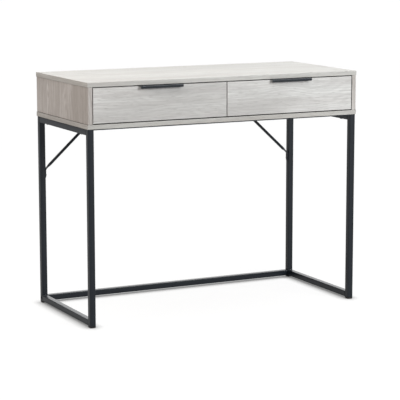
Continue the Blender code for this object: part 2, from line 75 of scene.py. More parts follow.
def surface(name, grids, material, ring=False):
    """A mesh from grids of points: quads join each point to the next in its row and its column.

    A ring grid also joins the last point of each row to the first. Points that meet are merged, which
    closes the seams and poles, and then the faces are turned outwards.
    """
    points = []
    faces = []
    count = 0
    for grid in grids:
        rows, columns = grid.shape[:2]
        index = np.arange(rows * columns).reshape(rows, columns) + count
        following = np.roll(index, -1, axis=1)
        if not ring:
            index, following = index[:, :-1], following[:, :-1]
        quads = np.stack([index[:-1], following[:-1], following[1:], index[1:]], axis=-1)
        faces.append(quads.reshape(-1, 4))
        points.append(grid.reshape(-1, 3))
        count += rows * columns
    mesh = bpy.data.meshes.new(name)
    mesh.from_pydata(np.concatenate(points).tolist(), [], np.concatenate(faces).tolist())
    shape = bmesh.new()
    shape.from_mesh(mesh)
    bmesh.ops.remove_doubles(shape, verts=shape.verts, dist=TOUCHING)
    bmesh.ops.recalc_face_normals(shape, faces=shape.faces)
    shape.to_mesh(mesh)
    shape.free()
    mesh.materials.append(material)
    mesh.shade_smooth()
    mesh.set_sharp_from_angle(angle=SHARP)
    piece = bpy.data.objects.new(name, mesh)
    bpy.context.scene.collection.objects.link(piece)
    return piece


def started(name):
    """A new material, its node tree and its shader."""
    made = bpy.data.materials.new(name)
    made.use_nodes = True
    return made, made.node_tree, made.node_tree.nodes["Principled BSDF"]


def painted_floor():
    """Matt white paint, pale and even, with a painted contact shadow: its glow dims where something
    stands close to it.

    It glows, fully where it is seen and less in what it lights and what mirrors it, as a bright floor
    does in studio work. It is seen through from below.
    """
    made, tree, shader = started("white_painted_floor")
    shader.inputs["Base Color"].default_value = linear("#606060")
    shader.inputs["Roughness"].default_value = 0.9
    shader.inputs["Specular IOR Level"].default_value = 0.1
    shader.inputs["Emission Color"].default_value = linear("#FFFFFF")
    # Painted contact shadow: ambient occlusion dims the glow next to whatever stands close to the floor.
    painted_contact_shadow = add(tree, "ShaderNodeAmbientOcclusion", {"Distance": CONTACT_REACH}, samples=8)
    glow = add(tree, "ShaderNodeMapRange", {
        "Value": painted_contact_shadow.outputs["AO"],
        "From Min": CONTACT_SHUT,
        "To Min": CONTACT_GLOW * FLOOR_GLOW,
        "To Max": FLOOR_GLOW,
    })
    direct = add(tree, "ShaderNodeLightPath").outputs[0]
    seen = add(tree, "ShaderNodeMapRange", {"Value": direct, "To Min": FLOOR_BOUNCE})
    shown = {0: glow.outputs[0], 1: seen.outputs[0]}
    strength = add(tree, "ShaderNodeMath", shown, operation="MULTIPLY")
    tree.links.new(strength.outputs[0], shader.inputs["Emission Strength"])
    clear = add(tree, "ShaderNodeBsdfTransparent")
    side = add(tree, "ShaderNodeNewGeometry")
    faces = {0: side.outputs["Backfacing"], 1: shader.outputs[0], 2: clear.outputs[0]}
    mixed = add(tree, "ShaderNodeMixShader", faces)
    tree.links.new(mixed.outputs[0], tree.nodes["Material Output"].inputs["Surface"])
    return made


FLOOR_GLOW = 0.86
FLOOR_BOUNCE = 0.47
# The painted contact shadow: how far it reaches, the occlusion at which it is darkest, and the share of
# glow left there.
CONTACT_REACH = 0.035
CONTACT_SHUT = 0.40
CONTACT_GLOW = 0.25
FLOOR_REACH = 60.0
across = np.linspace(-FLOOR_REACH, FLOOR_REACH, 9)
floor_x, floor_y = np.meshgrid(across, across)
floor = surface("floor", [np.stack([floor_x, floor_y, 0 * floor_x], axis=-1)], painted_floor())
if floor.data.polygons[0].normal.z < 0:
    floor.data.flip_normals()

ROOM = 0.06
SCREEN = 1.7
SCREEN_WAY = (0.44, 0.89, 0.12)
SCREEN_EDGE = (0.72, 0.94)
room = bpy.data.worlds.new("studio_room")
room.use_nodes = True
room_tree = room.node_tree
background = room_tree.nodes["Background"]
way = add(room_tree, "ShaderNodeTexCoord").outputs["Generated"]
facing = add(room_tree, "ShaderNodeVectorMath", {0: way, 1: SCREEN_WAY}, operation="DOT_PRODUCT")
edge = {"Value": facing.outputs["Value"], "From Min": SCREEN_EDGE[0], "From Max": SCREEN_EDGE[1]}
screen = add(room_tree, "ShaderNodeMapRange", edge, interpolation_type="SMOOTHSTEP")
lit = {0: screen.outputs[0], 1: SCREEN, 2: ROOM}
glow = add(room_tree, "ShaderNodeMath", lit, operation="MULTIPLY_ADD")
direct = add(room_tree, "ShaderNodeLightPath").outputs[0]
seen = {"Value": direct, "To Min": glow.outputs[0], "To Max": 1.0}
strength = add(room_tree, "ShaderNodeMapRange", seen)
room_tree.links.new(strength.outputs[0], background.inputs["Strength"])
background.inputs["Color"].default_value = linear("#FFFFFF")
bpy.context.scene.world = room
bpy.context.scene.view_settings.view_transform = "Standard"


def soft_lamp(name, where, aim, size, power, tint):
    """A square diffuser panel that faces a point."""
    lamp = bpy.data.lights.new(name, "AREA")
    lamp.color = linear(tint)[:3]
    lamp.shape = "SQUARE"
    lamp.size = size
    lamp.energy = power
    made = bpy.data.objects.new(name, lamp)
    made.location = where
    made.rotation_euler = (Vector(aim) - Vector(where)).to_track_quat("-Z", "Y").to_euler()
    bpy.context.scene.collection.objects.link(made)


CEILING_WAY = (-0.02, 0.04, -1.0)
CEILING_SPREAD = math.radians(70)
CEILING_POWER = 2.45
high_lamp = bpy.data.lights.new("ceiling_bounce", "SUN")
high_lamp.angle = CEILING_SPREAD
high_lamp.energy = CEILING_POWER
ceiling = bpy.data.objects.new("ceiling_bounce", high_lamp)
ceiling.rotation_euler = Vector(CEILING_WAY).to_track_quat("-Z", "Y").to_euler()
bpy.context.scene.collection.objects.link(ceiling)
soft_lamp("right_panel", (1.9, -3.4, 2.1), (0, 0, 0.7), 1.6, 126, "#FFFFFF")
soft_lamp("left_panel", (-2.3, -0.6, 2.0), (-0.5, 0, 0.7), 1.0, 29, "#FFEEE1")

STAND = (-2.587, -5.200, 1.301)
YAW = math.radians(-26.529)
PITCH = math.radians(-9.249)
ROLL = math.radians(0.059)
LENS = 153.2
ahead = Vector((-math.sin(YAW) * math.cos(PITCH), math.cos(YAW) * math.cos(PITCH), math.sin(PITCH)))
camera_data = bpy.data.cameras.new("camera")
camera_data.sensor_width = 36
camera_data.lens = LENS
camera = bpy.data.objects.new("camera", camera_data)
camera.location = STAND
camera.rotation_mode = "QUATERNION"
camera.rotation_quaternion = Quaternion(ahead, ROLL) @ ahead.to_track_quat("-Z", "Y")
bpy.context.scene.collection.objects.link(camera)
bpy.context.scene.camera = camera


# ---- Top, bottom, sides, back, divider and drawer fronts ----
# Boards of 15 mm chipboard faced with printed grey-oak melamine and edged with bands of the same print.
# Cam fittings and dowels inside the boards hold them; the side panels stand 2 mm back from the ends.

# Painted shade: the plain dark grey of the carcass's inside faces, which stands for the shade inside it.
INSIDE_SHADE_GREY = "#2F2D2C"
OAK_INKS = ("#C1C2BE", "#B0ACA6", "#95928F", "#7F7A77")
# The ends' inks are partly print and partly painted light: a warm tint stands for the warm light falling
# on the desk's ends.
END_INKS_WARM_LIT = ("#CECCCA", "#BCB8B4", "#958F89", "#7F7772")
FRONT_INKS = ("#DBDCDA", "#C6C4C2", "#A09F9D", "#868481")

# The figures of the print, each with its width across the grain and its length along it.
FIBRE = (0.0032, 0.110)
STREAK = (0.030, 0.700)
PATCH = (0.110, 0.450)
PORE = (0.0018, 0.030)
RING = (0.014, 0.900)
SWAY = (0.075, 0.330)
RING_SWING = 5.0


def grey_oak(name, along, on_ends, shift, contrast=1.0, shade_way=(0, 0, 0), both=(0, 0, 0),
             inks=OAK_INKS, rings=0.22):
    """Melamine over printed paper: a pale matt print of limed oak, with a faint gloss and shallow pores.

    The grain runs along one axis on the faces and long edges, and along another on the two ends that
    face the x axis, where the edge band turns. Lengths are those of oak: fibres drawn 3 mm wide, which
    is coarser than real so that they show, annual rings about 14 mm apart, and pores 2 by 30 mm.
    The four inks are the ground, its warmer streaks, the dark of fibres and rings, and the pores, and
    rings says how strongly the annual rings print. Painted shade: hidden faces inside the carcass are
    coloured plain dark grey, to stand for the shade in there. They are the faces that look one given
    way, and those that look either way along the axes marked in both.
    """
    ground, warm, dark, deep = inks
    made, tree, shader = started(name)
    place = add(tree, "ShaderNodeTexCoord")
    normal = place.outputs["Normal"]
    facing = add(tree, "ShaderNodeSeparateXYZ", {0: normal})
    sideways = add(tree, "ShaderNodeMath", {0: facing.outputs[0]}, operation="ABSOLUTE")
    is_end = add(tree, "ShaderNodeMath", {0: sideways.outputs[0], 1: 0.5}, operation="GREATER_THAN")
    one_way = add(tree, "ShaderNodeVectorMath", {0: normal, 1: shade_way}, operation="DOT_PRODUCT")
    unsigned = add(tree, "ShaderNodeVectorMath", {0: normal}, operation="ABSOLUTE").outputs[0]
    two_ways = add(tree, "ShaderNodeVectorMath", {0: unsigned, 1: both}, operation="DOT_PRODUCT")
    ways = {0: one_way.outputs["Value"], 1: two_ways.outputs["Value"]}
    hidden = add(tree, "ShaderNodeMath", ways, operation="MAXIMUM")
    is_painted_shade = add(tree, "ShaderNodeMath", {0: hidden.outputs[0], 1: 0.8}, operation="GREATER_THAN")

    def stretched(figure, offset):
        """The place on the board, in units of the figure's width and length."""
        wide, long = figure
        turned = []
        for axis in (along, on_ends):
            sizes = [1 / wide] * 3
            sizes[axis] = 1 / long
            turned.append(add(tree, "ShaderNodeMapping", {
                "Vector": place.outputs["Object"],
                "Location": (shift + offset, shift * 1.7, shift * 0.6),
                "Scale": sizes,
            }))
        return add(tree, "ShaderNodeMix", {
            "Factor": is_end.outputs[0],
            4: turned[0].outputs[0],
            5: turned[1].outputs[0],
        }, data_type="VECTOR").outputs[1]

    def pattern(figure, offset, detail, low, high):
        """Stretched noise, with its middle range spread from 0 to 1."""
        noise = add(tree, "ShaderNodeTexNoise", {
            "Vector": stretched(figure, offset),
            "Scale": 1.0,
            "Detail": detail,
            "Roughness": 0.55,
        })
        spread = {"Value": noise.outputs[0], "From Min": low, "From Max": high}
        return add(tree, "ShaderNodeMapRange", spread, interpolation_type="SMOOTHSTEP").outputs[0]

    fibre = pattern(FIBRE, 3.1, 3.0, 0.30, 0.70)
    tone = pattern(STREAK, 7.7, 2.0, 0.32, 0.68)
    patch = pattern(PATCH, 1.3, 2.0, 0.35, 0.65)
    pore = pattern(PORE, 5.9, 1.0, 0.60, 0.70)
    sway = pattern(SWAY, 9.2, 1.5, 0.20, 0.80)

    ring_place = stretched(RING, 2.4)
    ring_sum = add(tree, "ShaderNodeVectorMath", {0: ring_place, 1: (1, 1, 1)}, operation="DOT_PRODUCT")
    swing = {0: sway, 1: RING_SWING, 2: ring_sum.outputs["Value"]}
    swung = add(tree, "ShaderNodeMath", swing, operation="MULTIPLY_ADD")
    turns = add(tree, "ShaderNodeMath", {0: swung.outputs[0], 1: 2 * math.pi}, operation="MULTIPLY")
    wave = add(tree, "ShaderNodeMath", {0: turns.outputs[0]}, operation="SINE")
    ring_range = {"Value": wave.outputs[0], "From Min": -0.6, "From Max": 1.0}
    ring = add(tree, "ShaderNodeMapRange", ring_range, interpolation_type="SMOOTHSTEP").outputs[0]

    colour = linear(ground)
    for figure, strength, ink in (
        (tone, 0.55, warm),
        (patch, 0.30, dark),
        (ring, rings, dark),
        (fibre, 0.30, dark),
        (pore, 0.30, deep),
    ):
        amount = add(tree, "ShaderNodeMath", {0: figure, 1: strength * contrast}, operation="MULTIPLY")
        layer = {"Factor": amount.outputs[0], 6: colour, 7: linear(ink)}
        colour = add(tree, "ShaderNodeMix", layer, data_type="RGBA").outputs[2]
    # Painted shade: the inside faces take the dark grey in place of the print.
    paper = {"Factor": is_painted_shade.outputs[0], 6: colour, 7: linear(INSIDE_SHADE_GREY)}
    colour = add(tree, "ShaderNodeMix", paper, data_type="RGBA").outputs[2]
    tree.links.new(colour, shader.inputs["Base Color"])
    gloss = add(tree, "ShaderNodeMapRange", {"Value": fibre, "To Min": 0.42, "To Max": 0.56})
    tree.links.new(gloss.outputs[0], shader.inputs["Roughness"])
    shader.inputs["IOR"].default_value = 1.5
    depth = add(tree, "ShaderNodeMath", {0: pore, 1: -0.7, 2: fibre}, operation="MULTIPLY_ADD")
    emboss = {"Height": depth.outputs[0], "Strength": 0.35, "Distance": 0.00006}
    relief = add(tree, "ShaderNodeBump", emboss)
    tree.links.new(relief.outputs[0], shader.inputs["Normal"])
    return made


def dress(node, material):
    """Give a CAD node its material, in the object's own slots."""
    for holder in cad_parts[node].material_slots:
        holder.link = "OBJECT"
        holder.material = material


X, Y, Z = 0, 1, 2
# The inward faces of the boards carry the painted shade.
dress("top_board", grey_oak("grey_oak_melamine_top", X, Y, 0.0, 0.8, shade_way=(0, 0, -1)))
dress("bottom_board", grey_oak("grey_oak_melamine_bottom", X, Y, 3.0, 1.0, shade_way=(0, 0, 1)))
# The side panels take the warm-tinted inks, whose warmth is painted light.
for side, shift, inward in (("left", 6.0, 1), ("right", 9.0, -1)):
    name = f"grey_oak_melamine_{side}"
    dress(f"{side}_side_panel", grey_oak(name, Z, Z, shift, 1.5, shade_way=(inward, 0, 0), inks=END_INKS_WARM_LIT))
dress("back_panel", grey_oak("grey_oak_melamine_back", X, Z, 12.0, 1.2, shade_way=(0, -1, 0)))
# The divider is painted dark grey all over, as painted shade.
dress("centre_divider", grey_oak("grey_oak_divider_in_painted_shade", Y, Y, 15.0, both=(1, 1, 1)))
for side, shift in (("left", 18.0), ("right", 21.0)):
    name = f"grey_oak_melamine_{side}_front"
    face = grey_oak(name, X, Z, shift, 1.5, inks=FRONT_INKS, rings=0.12)
    dress(f"{side}_drawer_front", face)


# ---- Drawer boxes ----
# Sides and back of 12 mm chipboard in a plain pale grey melamine, grooved for a 3 mm hardboard bottom.

def plain_melamine():
    """Melamine over plain paper: matt pale grey with a fine pearl that only shows close to."""
    made, tree, shader = started("drawer_box_melamine")
    place = add(tree, "ShaderNodeTexCoord").outputs["Object"]
    pearl = add(tree, "ShaderNodeTexNoise", {"Vector": place, "Scale": 900.0, "Detail": 2.0})
    cloud = add(tree, "ShaderNodeTexNoise", {"Vector": place, "Scale": 25.0, "Detail": 2.0})
    laid = add(tree, "ShaderNodeMath", {0: pearl.outputs[0], 1: cloud.outputs[0]}, operation="ADD")
    spread = {"Value": laid.outputs[0], "From Min": 0.7, "From Max": 1.3}
    amount = add(tree, "ShaderNodeMapRange", spread)
    tint = {"Factor": amount.outputs[0], 6: linear("#C9C8C4"), 7: linear("#D8D7D3")}
    colour = add(tree, "ShaderNodeMix", tint, data_type="RGBA").outputs[2]
    tree.links.new(colour, shader.inputs["Base Color"])
    skin = {"Height": pearl.outputs[0], "Strength": 0.2, "Distance": 0.00005}
    relief = add(tree, "ShaderNodeBump", skin)
    tree.links.new(relief.outputs[0], shader.inputs["Normal"])
    shader.inputs["Roughness"].default_value = 0.5
    shader.inputs["IOR"].default_value = 1.5
    return made


BOX_MELAMINE = plain_melamine()
for side in ("left", "right"):
    for board in ("inner_side", "outer_side", "back", "bottom"):
        dress(f"{side}_drawer_{board}", BOX_MELAMINE)


# ---- Steel tubes: legs, rails and the rear cross rail ----
# Seam-welded square tube, 20 mm with a 1.5 mm wall and rounded corners, cut square, blasted and powder
# coated in fine-texture black. Two legs and two rails are welded into each side frame.

def powder_coat(name, gloss):
    """Polyester powder, baked: near black, satin, with a fine grain that breaks up the shine.

    The grain is about 0.3 mm on the real steel and is drawn at 1.2 mm, so that some of it shows. Gloss
    is how strongly the coat mirrors, with 0.5 for plain polyester and less for a matting agent in it.
    """
    made, tree, shader = started(name)
    place = add(tree, "ShaderNodeTexCoord").outputs["Object"]
    grain = add(tree, "ShaderNodeTexNoise", {"Vector": place, "Scale": 830.0, "Detail": 2.0})
    flow = add(tree, "ShaderNodeTexNoise", {"Vector": place, "Scale": 60.0, "Detail": 3.0})
    tint = {"Factor": flow.outputs[0], 6: linear("#10161D"), 7: linear("#161E27")}
    colour = add(tree, "ShaderNodeMix", tint, data_type="RGBA").outputs[2]
    tree.links.new(colour, shader.inputs["Base Color"])
    sheen = add(tree, "ShaderNodeMapRange", {"Value": grain.outputs[0], "To Min": 0.26, "To Max": 0.42})
    tree.links.new(sheen.outputs[0], shader.inputs["Roughness"])
    skin = {"Height": grain.outputs[0], "Strength": 0.15, "Distance": 0.0001}
    relief = add(tree, "ShaderNodeBump", skin)
    tree.links.new(relief.outputs[0], shader.inputs["Normal"])
    shader.inputs["IOR"].default_value = 1.45
    shader.inputs["Specular IOR Level"].default_value = gloss
    return made


BLACK = powder_coat("black_powder_coat", 0.5)
WALL = 0.0015
CORNER = 0.002
CUT_EDGE = 0.0002
MEETING = 0.001


def square_ring(half, radius, steps=6):
    """Points round a square with rounded corners.

    They lie on four quarter circles, each about a centre that is set in from its corner by the radius.
    """
    turn = np.linspace(0, math.pi / 2, steps + 1)
    quarter = np.arange(4)[:, None] * math.pi / 2
    angle = quarter + turn[None, :]
    middle = quarter + math.pi / 4
    set_in = (half - radius) * math.sqrt(2)
    across = set_in * np.cos(middle) + radius * np.cos(angle)
    up = set_in * np.sin(middle) + radius * np.sin(angle)
    return np.stack([across.ravel(), up.ravel()], axis=-1)


def square_tube(node, axis, ends_open=True):
    """A tube in place of a CAD node, from the ring of its section.

    The ring is carried along the outside, turned in over the cut edge and carried back along the
    inside, where it meets itself half way. A tube with closed ends has the last ring at each end
    drawn to one point instead.
    """
    low, high = (np.array(corner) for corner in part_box(node))
    middle = (low + high) / 2
    size = np.delete(high - low, axis).mean()
    outside = square_ring(size / 2, CORNER)
    edge = square_ring(size / 2 - CUT_EDGE, CORNER - CUT_EDGE)
    inside = square_ring(size / 2 - WALL, CORNER - WALL) if ends_open else 0 * outside
    first, last = low[axis], high[axis]
    centre = (first + last) / 2
    rows = [
        (inside, centre - MEETING),
        (inside, first),
        (edge, first),
        (outside, first + CUT_EDGE),
        (outside, last - CUT_EDGE),
        (edge, last),
        (inside, last),
        (inside, centre + MEETING),
        (inside, centre - MEETING),
    ]
    if not ends_open:
        rows = rows[1:-2]
    section = np.stack([ring for ring, _ in rows])
    station = np.array([at for _, at in rows])
    grid = np.zeros((*section.shape[:2], 3))
    sides = [other for other in (X, Y, Z) if other != axis]
    grid[..., sides[0]] = section[..., 0] + middle[sides[0]]
    grid[..., sides[1]] = section[..., 1] + middle[sides[1]]
    grid[..., axis] = station[:, None]
    tube = surface(f"{node}_tube", [grid], BLACK, ring=True)
    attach(tube, "desk")
    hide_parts(node)


for side in ("left", "right"):
    square_tube(f"{side}_front_leg", Z)
    square_tube(f"{side}_rear_leg", Z)
    square_tube(f"{side}_top_rail", Y)
    square_tube(f"{side}_bottom_rail", Y)
square_tube("rear_cross_rail", X, ends_open=False)
dress("front_tie_strip", BLACK)


# ---- Welds ----
# A bead joins each rail to its leg: left as laid on the inner side and between the tubes, and ground
# nearly flush on the outer face and against the carcass before the frame is coated.

BEAD = 0.0011
GROUND = 0.0003
RIPPLE = 0.0016
RISE = 0.14
GROUND_BAND = 0.001
STEPS_ROUND = 120


def bead_round(rail, at, above):
    """A ring of weld: a circle carried round the rail's square section.

    Its radius falls to almost nothing on the ground faces, and along the rest it is the bead's half
    width times one plus a sine, one wave for each ripple of the torch.
    """
    low, high = (np.array(corner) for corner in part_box(rail))
    middle = (low + high) / 2
    size = high[X] - low[X]
    ring = square_ring(size / 2 - GROUND, CORNER, 24)
    step = np.linalg.norm(np.roll(ring, -1, axis=0) - ring, axis=1)
    travelled = np.concatenate([[0], np.cumsum(step)[:-1]])
    even = np.linspace(0, step.sum(), STEPS_ROUND, endpoint=False)
    wrapped = np.concatenate([ring, ring[:1]])
    lengths = np.concatenate([travelled, [step.sum()]])
    across = np.interp(even, lengths, wrapped[:, 0])
    up = np.interp(even, lengths, wrapped[:, 1])
    outer = np.sign(middle[X]) * across
    flush = size / 2 - GROUND_BAND
    buried = (outer > flush) | ((up > flush) & above)
    radius = np.where(buried, GROUND, BEAD * (1 + RISE * np.sin(2 * math.pi * even / RIPPLE)))
    padded = np.concatenate([radius[-2:], radius, radius[:2]])
    radius = np.convolve(padded, np.ones(5) / 5, mode="valid")
    outward = np.stack([across, up], axis=-1)
    outward /= np.abs(outward).max(axis=1)[:, None]
    outward /= np.linalg.norm(outward, axis=1)[:, None]
    around = np.linspace(0, 2 * math.pi, 9)
    reach = radius[:, None] * np.cos(around)
    grid = np.stack([
        middle[X] + across[:, None] + outward[:, 0, None] * reach,
        at + radius[:, None] * np.sin(around),
        middle[Z] + up[:, None] + outward[:, 1, None] * reach,
    ], axis=-1)
    return np.concatenate([grid, grid[:1]])


for side in ("left", "right"):
    beads = []
    for rail, above in ((f"{side}_top_rail", True), (f"{side}_bottom_rail", False)):
        rail_low, rail_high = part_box(rail)
        beads.append(bead_round(rail, rail_low[Y], above))
        beads.append(bead_round(rail, rail_high[Y], above))
    weld = surface(f"{side}_frame_welds", beads, BLACK)
    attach(weld, "desk")


# ---- Braces ----
# Two 10 mm round bars. Each end is pressed flat, bent and drilled, one for the rear leg and one for the
# underside of the carcass, and the bar is coated with the frame.

BAR = 0.010
TAB_LENGTH = 0.030
TAB_WIDTH = 0.0145
TAB_THICK = 0.0028
BAR_BEND = 0.010
PRESSED = 0.014
NEARBY = 0.0004
TIP_STATIONS = (0, 0.0001, 0.0004, 0.001, 0.002, 0.0035)


def unit(vectors):
    """Each vector divided by its length."""
    return vectors / np.linalg.norm(vectors, axis=-1, keepdims=True)


def rounded(corners, radius, steps=8):
    """A line through corners, with an arc at each.

    The arc's centre is on the corner's bisector, radius / sin(half angle) from it, and its points turn
    evenly from one straight to the next.
    """
    corners = np.asarray(corners, float)
    inner = corners[1:-1]
    back = unit(corners[:-2] - inner)
    ahead = unit(corners[2:] - inner)
    half = np.arccos(np.clip((back * ahead).sum(axis=1), -1, 1)) / 2
    centre = inner + unit(back + ahead) * (radius / np.sin(half))[:, None]
    from_start = inner + back * (radius / np.tan(half))[:, None] - centre
    from_end = inner + ahead * (radius / np.tan(half))[:, None] - centre
    turn = (math.pi - 2 * half)[:, None, None]
    share = np.linspace(0, 1, steps + 1)[None, :, None]
    arcs = from_start[:, None] * np.sin((1 - share) * turn) + from_end[:, None] * np.sin(share * turn)
    arcs = centre[:, None] + arcs / np.sin(turn)
    return np.concatenate([corners[:1], arcs.reshape(-1, corners.shape[1]), corners[-1:]])


def along_line(line, stations):
    """Points and directions at distances along a line.

    A point is read off between the line's own points, and its direction is from the point 0.4 mm
    before it to the point 0.4 mm after it.
    """
    lengths = np.concatenate([[0], np.cumsum(np.linalg.norm(np.diff(line, axis=0), axis=1))])

    def read(distances):
        return np.stack([np.interp(distances, lengths, values) for values in line.T], axis=-1)

    return read(stations), unit(read(stations + NEARBY) - read(stations - NEARBY))


def brace(side, sign):
    """A superellipse carried along a bent line, whose ends close in a half circle.

    |across / half width|^n + |out / half thickness|^n = 1, with n going from 5 on the pressed ends to 2
    on the round bar, by the smooth step 3s^2 - 2s^3 over the length that is pressed.
    """
    low, high = (np.array(corner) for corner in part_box(f"{side}_brace"))
    far = max(abs(low[X]), abs(high[X])) - TAB_THICK / 2
    near = min(abs(low[X]), abs(high[X]))
    top = high[Z] - TAB_THICK / 2
    corners = [(far, low[Z]), (far, low[Z] + TAB_LENGTH), (near + TAB_LENGTH, top), (near, top)]
    line = rounded(corners, BAR_BEND, 14)
    total = np.linalg.norm(np.diff(line, axis=0), axis=1).sum()
    end = TAB_LENGTH + BAR_BEND + PRESSED + 0.004
    tip = TAB_WIDTH / 2
    start = np.concatenate([TIP_STATIONS, [tip], np.linspace(tip + 0.002, end, 40)])
    straight = np.linspace(end + 0.01, total - end - 0.01, 12)
    stations = np.concatenate([start, straight, total - start[::-1]])
    from_tip = np.minimum(stations, total - stations)
    share = np.clip((from_tip - TAB_LENGTH - BAR_BEND) / PRESSED, 0, 1)
    share = share * share * (3 - 2 * share)
    width = TAB_WIDTH + (BAR - TAB_WIDTH) * share
    thick = TAB_THICK + (BAR - TAB_THICK) * share
    width = width * np.sqrt(np.clip(1 - (np.clip(tip - from_tip, 0, None) / tip) ** 2, 0, 1))
    closed, eased = from_tip < TIP_STATIONS[1], from_tip < 3 * TIP_STATIONS[1]
    thick = thick * np.where(closed, 0, np.where(eased, 0.8, 1))
    power = (2 / (5 - 3 * share))[:, None]
    angle = np.linspace(0, 2 * math.pi, 28, endpoint=False)[None, :]
    across = np.sign(np.cos(angle)) * np.abs(np.cos(angle)) ** power * width[:, None] / 2
    out = np.sign(np.sin(angle)) * np.abs(np.sin(angle)) ** power * thick[:, None] / 2
    points, ways = along_line(line, stations)
    grid = np.stack([
        sign * (points[:, 0, None] + ways[:, 1, None] * out),
        (low[Y] + high[Y]) / 2 + across,
        points[:, 1, None] - ways[:, 0, None] * out,
    ], axis=-1)
    bar = surface(f"{side}_brace_bar", [grid], BLACK, ring=True)
    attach(bar, "desk")
    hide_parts(f"{side}_brace")


brace("left", -1)
brace("right", 1)


# ---- Feet ----
# Moulded black polythene caps, pushed into the ends of the legs and a little smaller at the floor.

def moulded_plastic():
    """Polythene from a spark-eroded mould: soft black with a dull, finely pitted skin."""
    made, tree, shader = started("black_plastic")
    place = add(tree, "ShaderNodeTexCoord").outputs["Object"]
    pits = add(tree, "ShaderNodeTexVoronoi", {"Vector": place, "Scale": 1600.0})
    scuff = add(tree, "ShaderNodeTexNoise", {"Vector": place, "Scale": 140.0, "Detail": 3.0})
    tint = {"Factor": scuff.outputs[0], 6: linear("#1A1A1B"), 7: linear("#2A2A2B")}
    colour = add(tree, "ShaderNodeMix", tint, data_type="RGBA").outputs[2]
    tree.links.new(colour, shader.inputs["Base Color"])
    skin = {"Height": pits.outputs[0], "Strength": 0.4, "Distance": 0.0001}
    relief = add(tree, "ShaderNodeBump", skin)
    tree.links.new(relief.outputs[0], shader.inputs["Normal"])
    shader.inputs["Roughness"].default_value = 0.55
    shader.inputs["IOR"].default_value = 1.51
    return made


PLASTIC = moulded_plastic()
for side in ("left", "right"):
    dress(f"{side}_front_foot", PLASTIC)
    dress(f"{side}_rear_foot", PLASTIC)


# ---- Handles ----
# A strip of 1.5 mm steel, folded twice over the drawer front: a flange screwed on behind, a flat over
# the top edge, and a lip in front to pull by. The free corners are rounded, and the coat is more matt
# than the frame's.

SHEET = 0.0015
FOLD = 0.0016
LIP = 0.0095
FREE_CORNER = 0.0020
EDGE_SHARE = 0.012
EDGE_THIN = 0.72
HANDLE_BLACK = powder_coat("matt_black_powder_coat", 0.4)


def handle(side):
    """The folded mid-line, given its thickness along its normals and carried along x.

    Near each end both free edges draw back along a quarter circle, and the last row closes on the
    mid-line.
    """
    node = f"{side}_handle"
    low, high = (np.array(corner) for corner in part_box(node))
    half = SHEET / 2
    behind, front = high[Y] - half, low[Y] + half
    flat = high[Z] - half
    line = rounded([(behind, low[Z]), (behind, flat), (front, flat), (front, high[Z] - LIP)], FOLD, 8)
    total = np.linalg.norm(np.diff(line, axis=0), axis=1).sum()
    spread = np.sin(np.linspace(0, math.pi / 2, 9))
    corner = FREE_CORNER * (1 - spread[::-1])
    inset = np.unique(np.concatenate([corner, [0.005, 0.02, 0.05, (high[X] - low[X]) / 2]]))
    reach = np.concatenate([low[X] + inset, high[X] - inset[-2::-1]])
    from_end = np.minimum(reach - low[X], high[X] - reach)
    drawn = FREE_CORNER - np.sqrt(FREE_CORNER ** 2 - np.clip(FREE_CORNER - from_end, 0, None) ** 2)
    edge = np.array([0, 0.004, EDGE_SHARE])
    share = np.concatenate([edge, np.linspace(0.03, 0.97, 70), 1 - edge[::-1]])
    stations = drawn[:, None] + (total - 2 * drawn[:, None]) * share[None, :]
    points, ways = along_line(line, stations.ravel())
    points = points.reshape(*stations.shape, 2)
    normals = np.stack([-ways[:, 1], ways[:, 0]], axis=-1).reshape(*stations.shape, 2)
    taper = np.sqrt(np.clip(np.minimum(share, 1 - share) / EDGE_SHARE, 0, 1))
    thick = half * (EDGE_THIN + (1 - EDGE_THIN) * taper)[None, :, None]
    outer = points + normals * thick
    inner = (points - normals * thick)[:, ::-1]
    section = np.concatenate([outer, inner], axis=1)
    closing = np.concatenate([points, points[:, ::-1]], axis=1)
    section = np.concatenate([closing[:1], section, closing[-1:]])
    reach = np.concatenate([reach[:1], reach, reach[-1:]])
    along = np.broadcast_to(reach[:, None, None], (*section.shape[:2], 1))
    grid = np.concatenate([along, section], axis=-1)
    strip = surface(f"{node}_strip", [grid], HANDLE_BLACK, ring=True)
    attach(strip, f"{side}_drawer")
    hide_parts(node)


handle("left")
handle("right")


# ---- Drawer runners ----
# Single-extension ball runners, roll-formed from zinc-plated strip: a rail on the wall, a rail on the
# drawer, and between them a thin cage that carries steel balls in the raceways.

def zinc_plate():
    """Bright zinc on cold-rolled steel: a bluish grey metal with faint rolling lines along the strip."""
    made, tree, shader = started("zinc_plated_steel")
    place = add(tree, "ShaderNodeTexCoord").outputs["Object"]
    drawn = {"Vector": place, "Scale": (1800.0, 12.0, 1800.0)}
    along = add(tree, "ShaderNodeMapping", drawn)
    lines = add(tree, "ShaderNodeTexNoise", {"Vector": along.outputs[0], "Scale": 1.0, "Detail": 2.0})
    stain = add(tree, "ShaderNodeTexNoise", {"Vector": place, "Scale": 55.0, "Detail": 3.0})
    tint = {"Factor": stain.outputs[0], 6: linear("#B4B9BE"), 7: linear("#D2D5D6")}
    colour = add(tree, "ShaderNodeMix", tint, data_type="RGBA").outputs[2]
    tree.links.new(colour, shader.inputs["Base Color"])
    gloss = add(tree, "ShaderNodeMapRange", {"Value": lines.outputs[0], "To Min": 0.26, "To Max": 0.42})
    tree.links.new(gloss.outputs[0], shader.inputs["Roughness"])
    skin = {"Height": lines.outputs[0], "Strength": 0.15, "Distance": 0.00003}
    relief = add(tree, "ShaderNodeBump", skin)
    tree.links.new(relief.outputs[0], shader.inputs["Normal"])
    shader.inputs["Metallic"].default_value = 1.0
    return made


